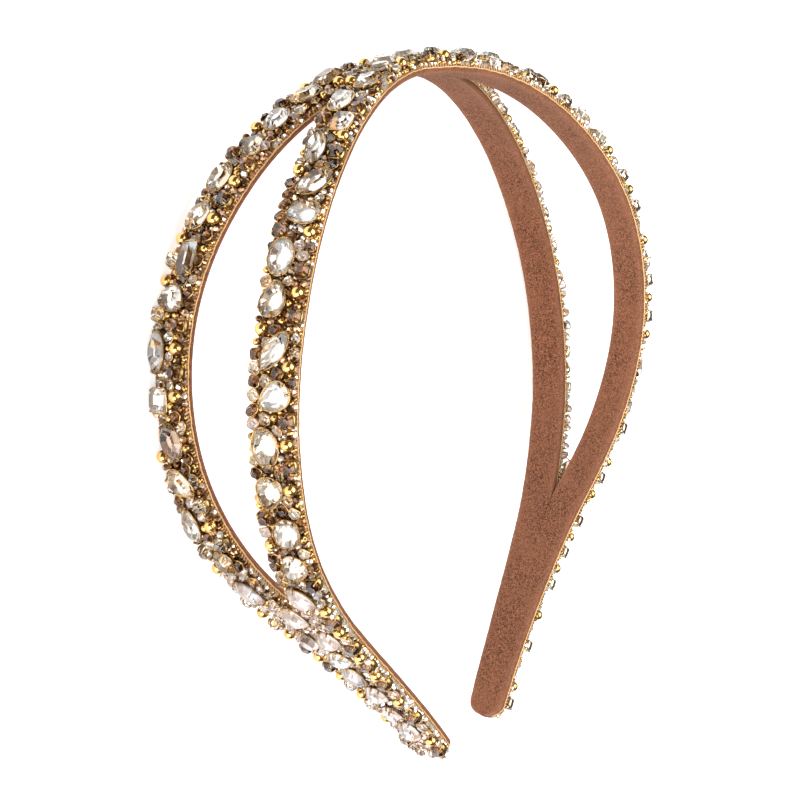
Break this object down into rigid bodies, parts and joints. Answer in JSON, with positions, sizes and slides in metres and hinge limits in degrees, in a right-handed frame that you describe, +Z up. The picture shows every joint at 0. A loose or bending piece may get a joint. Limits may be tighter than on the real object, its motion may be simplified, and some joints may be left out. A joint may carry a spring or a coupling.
{
  "type": "double-strand embroidered headband",
  "caption": "Rigid double-strand headband, its outside set with cut stones and gold beads and its inside lined with suede, worn over the head to hold back the hair.",
  "frame": {"origin": "centre of the bounding box's bottom face, on the surface that the headband lies on", "axes": "+X to one side of the head, +Y towards the crown and -Y towards the tips, +Z up through the front strand, as the headband lies on its back strand"},
  "size_m": [0.1394, 0.1432, 0.0332],
  "materials": {
    "cloth": "woven gold-brown thread",
    "suede": "brushed nap",
    "crystal": "foil-backed, polished",
    "smoky_stone": "foil-backed, polished",
    "gold": "antique, polished"
  },
  "bodies": {
    "root": {"front_ground": "cloth", "back_ground": "cloth", "front_lining": "suede", "back_lining": "suede", "front_crystals": "crystal", "back_crystals": "crystal", "front_chatons": "smoky_stone", "back_chatons": "smoky_stone", "front_beads": "gold", "back_beads": "gold"}
  },
  "joints": []
}
